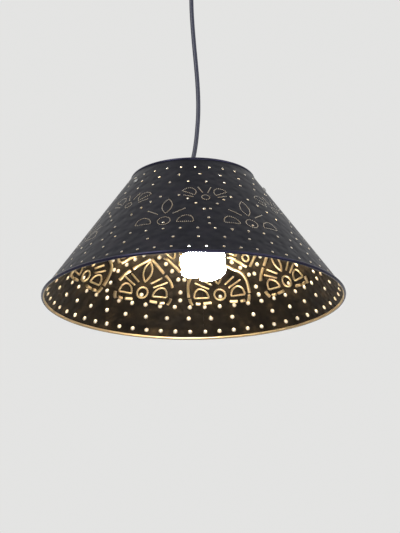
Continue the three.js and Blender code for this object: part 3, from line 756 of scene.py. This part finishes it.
# Bulb, on the holder's axis
LID_TOP = -109.7
LID_LOW = -112.7
COIL_TURNS = 1.75
COIL_DROP = 31.5
COIL_RADIUS = 24.6
COIL_ROOT = 16.5
COIL_CLEAR = 4.5
TUBE_RADIUS = 5.2


def coil_half(side):
    points = [Vector((side * COIL_ROOT, 0, z)) for z in (LID_TOP - 0.3, LID_LOW - COIL_CLEAR * 0.4,
                                                         LID_LOW - COIL_CLEAR)]
    first = LID_LOW - COIL_CLEAR - TUBE_RADIUS
    steps = round(COIL_TURNS * 10)
    for i in range(1, steps + 1):
        share = i / steps
        radius = (COIL_ROOT + (COIL_RADIUS - COIL_ROOT) * min(1, i / 3)) * min(1, (steps - i) / 1.5 + 0.72)
        angle = share * COIL_TURNS * math.tau
        points.append(Vector((side * radius * math.cos(angle), side * radius * math.sin(angle),
                              first - COIL_DROP * share)))
    return points


def spiral_tube(finish):
    down = coil_half(1)
    low = down[-1].z - 3.4
    route = down + [Vector((0, 0, low))] + coil_half(-1)[::-1]
    points = [HOLDER @ (p * MM) for p in smoothed(route, 1.6)]
    mesh = tube("spiral_glass", [(points, False)], TUBE_RADIUS * MM, sides=6)
    bm = bmesh.new()
    bm.from_mesh(mesh)
    bmesh.ops.recalc_face_normals(bm, faces=bm.faces)
    piece("spiral_glass", to_mesh(bm, "spiral_glass"), [finish], "bulb", ["spiral_tube"])


def bulb_cap(steel, black):
    """The screw cap with its solder tip on a ring of black glass."""
    tip = [(0, -40.3), (4.8, -40.3), (4.7, -39.6), (3.4, -38.3), (1.8, -37.9), (0, -37.9)]
    lathe("solder_tip", tip, steel, "bulb", "bulb_tip", steps=32, edge=0, closed=False)
    glass_ring = [(0, -44.3), (12.1, -44.3), (12, -43.7), (5.6, -40.7), (5.2, -40.6), (0, -40.6)]
    lathe("black_glass_ring", glass_ring, black, "bulb", "bulb_insulator", steps=48,
          edge=0, closed=False)
    threaded("bulb_cap_thread", 12.2, 13.1, -67.1, -44.6, 5, steel, "bulb", "bulb_cap")


def ballast(white):
    """The white case, its lid with two holes for the tube, and a collar round each hole."""
    housing = [(0, -109.4), (24, -109.4), (24.6, -109.2), (25, -108.4), (25, -106.4), (24.7, -106.1),
               (24.7, -105.5), (25, -105.2), (24.9, -101), (24.5, -96), (23.9, -91), (22.8, -86),
               (21.1, -81.5), (18.8, -76.5), (16.6, -72), (14.6, -69), (13.6, -67.5), (12.1, -67.4),
               (12.1, -55.1), (0, -55.1)]
    lathe("ballast_case", housing, white, "bulb", "ballast_housing", edge=0, closed=False)
    lid = turned([(0, LID_LOW), (23, LID_LOW), (24, -112.3), (24.4, -111.5), (24.4, LID_TOP),
                  (0, LID_TOP)], 72)
    holes = bmesh.new()
    for side in (-1, 1):
        rod_punch(holes, TUBE_RADIUS + 0.4, 9, at(side * COIL_ROOT, 0, LID_LOW))
    lid = cut_out(lid, holes)
    bmesh.ops.transform(lid, matrix=HOLDER, verts=lid.verts)
    piece("tube_lid", to_mesh(lid, "tube_lid"), [white], "bulb", ["ballast_lid"])
    collar = [(5.35, -113.3), (7.1, -113.3), (7.6, -112.8), (5.35, -112.8)]
    for side, name in ((-1, "tube_collar_left"), (1, "tube_collar_right")):
        bm = turned(collar, 32, closed=True, place=HOLDER @ at(side * COIL_ROOT, 0, 0))
        piece(name, to_mesh(bm, name), [white], "bulb")


# Ceiling fitting: heights below the ceiling in millimetres
PLATE_RADIUS = 42
PLATE_SCREWS = 28
LEAD_HOLE = 24
SCREW_HEIGHT = -7
CANOPY_RADIUS = 43.3
CANOPY_WALL = 1
CANOPY_LOW = -55.5
CANOPY_MOUTH = 16
DOME_START = -20
HOOK_WIRE = 2.5
HOOK_BEND = 8
HOOK_CENTRE = -23
LINK_WIRE = 2
LINK_BEND = 6
LINK_TOP = -26.2
LINK_LOW = -43.2
EYE_WIRE = 2
EYE_RADIUS = 5.8
EYE_CENTRE = -44.7


def side_holes():
    """Punches where the canopy's two screws go through from the sides."""
    bm = bmesh.new()
    for side in (-1, 1):
        place = at(side * PLATE_RADIUS, 0, SCREW_HEIGHT) @ Matrix.Rotation(math.pi / 2, 4, "Y")
        rod_punch(bm, 2.1, 14, place)
    return bm


def base_plate(steel):
    plate = turned([(0, -2), (39, -2), (40, -3), (40, -12), (PLATE_RADIUS, -12), (PLATE_RADIUS, -0.8),
                    (41.2, 0), (0, 0)], 120)
    holes = side_holes()
    for side in (-1, 1):
        rod_punch(holes, 2.5, 12, at(0, side * PLATE_SCREWS, 0))
    rod_punch(holes, 6, 12, at(LEAD_HOLE, 0, 0), 32)
    piece("base_plate", to_mesh(cut_out(plate, holes), "base_plate"), [steel], "ceiling", ["ceiling_plate"])


def dome(radius, low):
    """Side view of the canopy's round bottom, from the mouth up to the upright wall."""
    across, down = radius - CANOPY_MOUTH, low - DOME_START
    angles = [math.radians(a) for a in range(90, -1, -9)]
    return [(CANOPY_MOUTH + across * math.cos(a), DOME_START + down * math.sin(a)) for a in angles]


def canopy_cup(outside):
    inner = CANOPY_RADIUS - CANOPY_WALL
    side_view = dome(CANOPY_RADIUS, CANOPY_LOW) + [(CANOPY_RADIUS, -0.3), (inner, -0.3)]
    side_view += dome(inner, CANOPY_LOW + CANOPY_WALL)[::-1]
    cup = cut_out(turned(side_view, 120, closed=True), side_holes())
    piece("canopy_cup", to_mesh(cup, "canopy_cup"), [outside], "ceiling", ["canopy"])


def canopy_screws(brass):
    side_view = [(0, -6), (1.4, -6), (1.8, -5.5), (1.8, 0), (3.6, 0), (3.55, 0.5), (3, 1.4), (1.7, 2),
                 (0, 2.1)]
    for side, word in ((-1, "left"), (1, "right")):
        slot = bmesh.new()
        bmesh.ops.create_cube(slot, size=MM, matrix=at(0, 0, 2.1) @ Matrix.Diagonal((9, 0.9, 2, 1)))
        screw = cut_out(turned(side_view, 32), slot)
        place = at(side * 43.6, 0, SCREW_HEIGHT) @ Matrix.Rotation(side * math.pi / 2, 4, "Y")
        bmesh.ops.transform(screw, matrix=place, verts=screw.verts)
        piece(f"slotted_screw_{word}", to_mesh(screw, f"slotted_screw_{word}"), [brass], "ceiling",
              [f"canopy_screw_{word}"])


def bent_wire(name, route, radius, closed, finish, body, node):
    """A round wire along a smooth route, in millimetres."""
    points = [p * MM for p in smoothed(route, 1.0, closed)]
    bm = bmesh.new()
    bm.from_mesh(tube(name, [(points, closed)], radius * MM, sides=4))
    bmesh.ops.recalc_face_normals(bm, faces=bm.faces)
    piece(name, to_mesh(bm, name), [finish], body, [node])


def round_points(radius, height, angles, plane="x"):
    """Points of an upright circle, across or fore and aft."""
    turns = [math.radians(a) for a in angles]
    across = [(radius * math.cos(t), height + radius * math.sin(t)) for t in turns]
    return [Vector((a, 0, z)) if plane == "x" else Vector((0, a, z)) for a, z in across]


def hook_and_nut(steel):
    stem = [Vector((0, 0, -2.3)), Vector((0, 0, -4.5)), Vector((0, 0, -7)), Vector((0.6, 0, -10))]
    hook = stem + round_points(HOOK_BEND, HOOK_CENTRE, range(48, -206, -23))
    bent_wire("hook_wire", hook, HOOK_WIRE, False, steel, "ceiling", "ceiling_hook")
    side_view = [(2.8, -6.3), (4.6, -6.3), (5.2, -5.7), (5.2, -2.9), (4.6, -2.3), (2.8, -2.3)]
    lathe("hex_nut", side_view, steel, "ceiling", "hook_nut", steps=6, edge=0.2, place=None)


def chain_link(steel):
    loop = round_points(LINK_BEND, LINK_TOP - LINK_BEND, range(0, 181, 30), "y")
    loop += round_points(LINK_BEND, LINK_LOW + LINK_BEND, range(180, 361, 30), "y")
    bent_wire("chain_link", loop, LINK_WIRE, True, steel, "link", "hanging_link")


def cord_grip(black):
    """The eye and body that hang in the link, and the nut that clamps the cord."""
    ring = smoothed(round_points(EYE_RADIUS, EYE_CENTRE, range(0, 360, 24)), 0.9, closed=True)
    bm = bmesh.new()
    bm.from_mesh(tube("eye", [([p * MM for p in ring], True)], EYE_WIRE * MM, sides=4))
    body = [(0, -63.5), (6.6, -63.5), (7, -63), (7, -54.5), (6.4, -53.4), (4.6, -51.9), (4, -51.5),
            (0, -51.5)]
    bm.from_mesh(template(turned(body, 48), "grip_body"))
    bmesh.ops.recalc_face_normals(bm, faces=bm.faces)
    piece("grip_eye", to_mesh(bm, "grip_eye"), [black], "pendant", ["cord_grip_eye"])
    side_view = [(2.5, -73.8), (3.9, -73.8), (4.4, -73.5), (6.8, -69), (7, -68.3), (7, -63.8), (2.5, -63.8)]
    nut = turned(side_view, 48, closed=True)
    soften(nut, 0.2 * MM)
    grooved(nut, 7, 3, 0.4)
    piece("grip_nut", to_mesh(nut, "grip_nut"), [black], "pendant", ["cord_grip_nut"])


def terminal_screws(brass):
    heads = bmesh.new()
    head = template(turned([(0, -15.2), (1.5, -15.2), (1.9, -14.8), (1.9, -14), (0, -14)], 20), "head")
    for x in (-10, 0, 10):
        for y in (-21, -13):
            stamp(heads, head, at(x, y, 0.6))
    piece("terminal_screws", to_mesh(heads, "terminal_screws"), [brass], "ceiling")


# Materials
def material(name):
    """A new material with its nodes, links and shader."""
    made = bpy.data.materials.new(name)
    made.use_nodes = True
    nodes = made.node_tree.nodes
    return made, nodes, made.node_tree.links, nodes["Principled BSDF"]


def noise_node(nodes, links, scale, detail=4, rough=0.6):
    coords = nodes.new("ShaderNodeTexCoord")
    texture = nodes.new("ShaderNodeTexNoise")
    texture.inputs["Scale"].default_value = scale
    texture.inputs["Detail"].default_value = detail
    texture.inputs["Roughness"].default_value = rough
    links.new(coords.outputs["Object"], texture.inputs["Vector"])
    return texture


def ramp(nodes, links, source, stops):
    made = nodes.new("ShaderNodeValToRGB")
    while len(made.color_ramp.elements) < len(stops):
        made.color_ramp.elements.new(0.5)
    for element, (place, colour) in zip(made.color_ramp.elements, stops):
        element.position = place
        element.color = (*colour, 1)
    links.new(source, made.inputs["Fac"])
    return made


def bump(nodes, links, height, shader, strength, distance):
    made = nodes.new("ShaderNodeBump")
    made.inputs["Strength"].default_value = strength
    made.inputs["Distance"].default_value = distance
    links.new(height, made.inputs["Height"])
    links.new(made.outputs["Normal"], shader.inputs["Normal"])
    return made


def hammered(name, stops, metallic, rough_low, rough_high, dent, strength):
    """Sheet metal with soft hammer marks and a blotchy patina."""
    made, nodes, links, shader = material(name)
    blotch = noise_node(nodes, links, 45)
    colour = ramp(nodes, links, blotch.outputs["Fac"], stops)
    links.new(colour.outputs["Color"], shader.inputs["Base Color"])
    rough = nodes.new("ShaderNodeMapRange")
    rough.inputs["To Min"].default_value = rough_low
    rough.inputs["To Max"].default_value = rough_high
    links.new(blotch.outputs["Fac"], rough.inputs["Value"])
    links.new(rough.outputs["Result"], shader.inputs["Roughness"])
    shader.inputs["Metallic"].default_value = metallic
    coords = nodes.new("ShaderNodeTexCoord")
    marks = nodes.new("ShaderNodeTexVoronoi")
    marks.feature = "SMOOTH_F1"
    marks.inputs["Scale"].default_value = dent
    marks.inputs["Smoothness"].default_value = 0.8
    links.new(coords.outputs["Object"], marks.inputs["Vector"])
    bump(nodes, links, marks.outputs["Distance"], shader, strength, 0.003)
    return made


def plain_metal(name, colour, rough, metallic=1.0, grain=900, strength=0.1):
    made, nodes, links, shader = material(name)
    scratches = noise_node(nodes, links, grain, 3)
    tint = ramp(nodes, links, scratches.outputs["Fac"],
                [(0.3, [c * 0.82 for c in colour]), (0.7, colour)])
    links.new(tint.outputs["Color"], shader.inputs["Base Color"])
    shader.inputs["Metallic"].default_value = metallic
    shader.inputs["Roughness"].default_value = rough
    bump(nodes, links, scratches.outputs["Fac"], shader, strength, 0.0003)
    return made


def plastic(name, colour, rough, grain=1400, strength=0.08):
    made, nodes, links, shader = material(name)
    orange_peel = noise_node(nodes, links, grain, 2)
    tint = ramp(nodes, links, orange_peel.outputs["Fac"],
                [(0.35, [c * 0.9 for c in colour]), (0.7, colour)])
    links.new(tint.outputs["Color"], shader.inputs["Base Color"])
    shader.inputs["Roughness"].default_value = rough
    bump(nodes, links, orange_peel.outputs["Fac"], shader, strength, 0.0004)
    return made


def lit_glass():
    """White coated glass, alight."""
    made, nodes, links, shader = material("lit_glass")
    coating = noise_node(nodes, links, 160, 2)
    tint = ramp(nodes, links, coating.outputs["Fac"], [(0.3, (1, 0.9, 0.74)), (0.7, (1, 0.95, 0.84))])
    links.new(tint.outputs["Color"], shader.inputs["Base Color"])
    links.new(tint.outputs["Color"], shader.inputs["Emission Color"])
    shader.inputs["Emission Strength"].default_value = 120
    shader.inputs["Roughness"].default_value = 0.25
    return made


def all_materials():
    return {
        # The outside's blotches are patina; the blue and violet tint of its colour stops is a painted
        # sheen.
        "outside": hammered(
            "gunmetal_patina_blue_sheen",
            [(0.3, (0.004, 0.004, 0.008)), (0.55, (0.009, 0.009, 0.015)), (0.8, (0.022, 0.018, 0.024))],
            0.75, 0.36, 0.55, 95, 0.35),
        "inside": hammered(
            "aged_brass_inside",
            [(0.3, (0.006, 0.004, 0.002)), (0.55, (0.015, 0.010, 0.005)), (0.8, (0.056, 0.036, 0.016))],
            0.8, 0.38, 0.6, 95, 0.4),
        # The raised lines are far paler than the sheet they are pressed from: a painted highlight of the
        # bulb's light.
        "ridges": plain_metal("raised_brass_painted_highlight", (0.5, 0.37, 0.2), 0.38, 0.8, 700, 0.15),
        # The burr craters are torn brass, made paler than the inside of the sheet as painted light of the
        # bulb catching them.
        "burrs": plain_metal("torn_brass_painted_light", (0.74, 0.6, 0.4), 0.4, 0.6, 700, 0.1),
        # The walls of the holes are near white: cut metal lightened as painted light that shines through
        # the holes.
        "edges": plain_metal("punched_edge_painted_light", (0.95, 0.91, 0.82), 0.35, 0.2, 700, 0.1),
        # The inward side of the rims is rubbed brass, made paler as painted light of the bulb.
        "rim": plain_metal("rubbed_rim_brass_painted_light", (0.45, 0.33, 0.18), 0.36, 0.8, 500, 0.12),
        # The blue of the rims' outward side is a painted sheen on dark metal.
        "rim_outside": plain_metal("blue_sheen_rim", (0.022, 0.021, 0.045), 0.24, 0.85, 500, 0.12),
        "steel": plain_metal("zinc_plated_steel", (0.3, 0.3, 0.295), 0.5, 0.9, 900, 0.08),
        "fittings": plain_metal("satin_brass", (0.62, 0.46, 0.2), 0.3, 1.0, 900, 0.08),
        "black": plastic("black_moulding", (0.022, 0.021, 0.024), 0.42),
        "cream": plastic("cream_moulding", (0.74, 0.7, 0.6), 0.5),
        "white": plastic("white_moulding", (0.8, 0.8, 0.77), 0.38),
        "ceramic": plastic("glazed_ceramic", (0.8, 0.77, 0.7), 0.2),
        # The blue of the sheath is a painted sheen on the dark cord.
        "sheath": plastic("dark_sheath_blue_sheen", (0.012, 0.014, 0.035), 0.45, 600, 0.12),
        "glass": lit_glass(),
    }


# Cord
def cord_route():
    grip_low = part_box("cord_grip_nut")[0].z
    start = HOLDER @ Vector((0, 0, 0.0003))
    points = [start] + [Vector((x * MM, 0, RIM_PLANE + z * MM)) for x, z in CORD_ROUTE]
    points.append(Vector((0, 0, grip_low - 0.0003)))
    return points


def cord(sheath):
    points = smoothed(cord_route(), 0.002)
    curve = bpy.data.curves.new("cord_sheath", "CURVE")
    curve.dimensions = "3D"
    curve.bevel_depth = CORD_DIAMETER / 2
    curve.bevel_resolution = 5
    curve.use_fill_caps = True
    spline = curve.splines.new("POLY")
    spline.points.add(len(points) - 1)
    for spot, point in zip(spline.points, points):
        spot.co = (*point, 1)
    curve.materials.append(sheath)
    made = bpy.data.objects.new("cord_sheath", curve)
    bpy.context.scene.collection.objects.link(made)
    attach(made, "pendant")
    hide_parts("cord")


# Setting
FLOOR_HEIGHT = -4.5
FLOOR_SIZE = 8
FLOOR_LIFT = 0.4
LAMPS = [
    {"name": "key", "place": (-1.6, -2.2, 0.9), "aim": (0, 0, -0.35), "size": 1.6, "power": 60},
    {"name": "fill", "place": (2.0, -1.6, -0.2), "aim": (0, 0, -0.35), "size": 1.8, "power": 25},
    {"name": "low_fill", "place": (0.5, -2.3, -2.2), "aim": (0, 0, -0.4), "size": 1.6, "power": 25},
]


def world_light():
    """Soft light from all sides, and a plain pale backdrop where the camera, a shine or glass looks."""
    world = bpy.data.worlds.new("studio")
    world.use_nodes = True
    nodes, links = world.node_tree.nodes, world.node_tree.links
    nodes.clear()
    path = nodes.new("ShaderNodeLightPath")
    seen = nodes.new("ShaderNodeMath")
    seen.operation = "MAXIMUM"
    links.new(path.outputs["Is Camera Ray"], seen.inputs[0])
    links.new(path.outputs["Is Glossy Ray"], seen.inputs[1])
    through = nodes.new("ShaderNodeMath")
    through.operation = "MAXIMUM"
    links.new(seen.outputs[0], through.inputs[0])
    links.new(path.outputs["Is Transmission Ray"], through.inputs[1])
    light = nodes.new("ShaderNodeBackground")
    light.inputs["Color"].default_value = (0.93, 0.95, 1, 1)
    light.inputs["Strength"].default_value = 0.45
    backdrop = nodes.new("ShaderNodeBackground")
    backdrop.inputs["Color"].default_value = (0.86, 0.86, 0.85, 1)
    backdrop.inputs["Strength"].default_value = 0.9
    mix = nodes.new("ShaderNodeMixShader")
    links.new(through.outputs[0], mix.inputs["Fac"])
    links.new(light.outputs[0], mix.inputs[1])
    links.new(backdrop.outputs[0], mix.inputs[2])
    output = nodes.new("ShaderNodeOutputWorld")
    links.new(mix.outputs[0], output.inputs["Surface"])
    bpy.context.scene.world = world


def soft_lamp(name, place, aim, size, power):
    data = bpy.data.lights.new(name, "AREA")
    data.shape = "SQUARE"
    data.size = size
    data.energy = power
    made = bpy.data.objects.new(name, data)
    made.location = place
    made.rotation_euler = (Vector(aim) - Vector(place)).to_track_quat("-Z", "Y").to_euler()
    bpy.context.scene.collection.objects.link(made)


def floor():
    bm = bmesh.new()
    bmesh.ops.create_grid(bm, x_segments=1, y_segments=1, size=FLOOR_SIZE)
    bmesh.ops.transform(bm, matrix=Matrix.Translation((0, 0, FLOOR_HEIGHT)), verts=bm.verts)
    made, nodes, links, shader = material("pale_floor")
    shader.inputs["Base Color"].default_value = (0.8, 0.8, 0.79, 1)
    shader.inputs["Roughness"].default_value = 0.7
    path = nodes.new("ShaderNodeLightPath")
    lift = nodes.new("ShaderNodeMath")
    lift.operation = "MULTIPLY"
    lift.inputs[1].default_value = FLOOR_LIFT
    links.new(path.outputs["Is Camera Ray"], lift.inputs[0])
    shader.inputs["Emission Color"].default_value = (0.86, 0.86, 0.85, 1)
    links.new(lift.outputs[0], shader.inputs["Emission Strength"])
    mesh = template(bm, "floor")
    mesh.materials.append(made)
    plane = bpy.data.objects.new("floor", mesh)
    bpy.context.scene.collection.objects.link(plane)


def dress_carried_nodes(finishes):
    """Every solid that stays in view gets the finish of its slot."""
    by_slot = {
        "zinc_steel": "steel", "dark_sheet": "outside", "brass_fittings": "fittings",
        "cream_plastic": "cream", "black_plastic": "black", "cord_sheath": "sheath", "ring_brass": "rim",
        "ceramic": "ceramic", "white_plastic": "white", "lit_glass": "glass",
    }
    for part in frame["record"]["subparts"]:
        node = frame["nodes"][part["node"]]
        node.data.materials.clear()
        node.data.materials.append(finishes[by_slot[part["material_slot"]]])


photo_camera()
finishes = all_materials()
cord(finishes["sheath"])
dress_carried_nodes(finishes)
shade([finishes[name] for name in ("outside", "inside", "ridges", "edges", "burrs")])
rims(finishes["rim_outside"], finishes["rim"])
spider(finishes["steel"])
rivets(finishes["steel"])
holder(finishes)
bulb_cap(finishes["steel"], finishes["black"])
ballast(finishes["white"])
spiral_tube(finishes["glass"])
base_plate(finishes["steel"])
canopy_cup(finishes["outside"])
canopy_screws(finishes["fittings"])
hook_and_nut(finishes["steel"])
chain_link(finishes["steel"])
cord_grip(finishes["black"])
terminal_screws(finishes["fittings"])
world_light()
for lamp in LAMPS:
    soft_lamp(**lamp)
floor()

bpy.context.scene.view_settings.view_transform = "Standard"
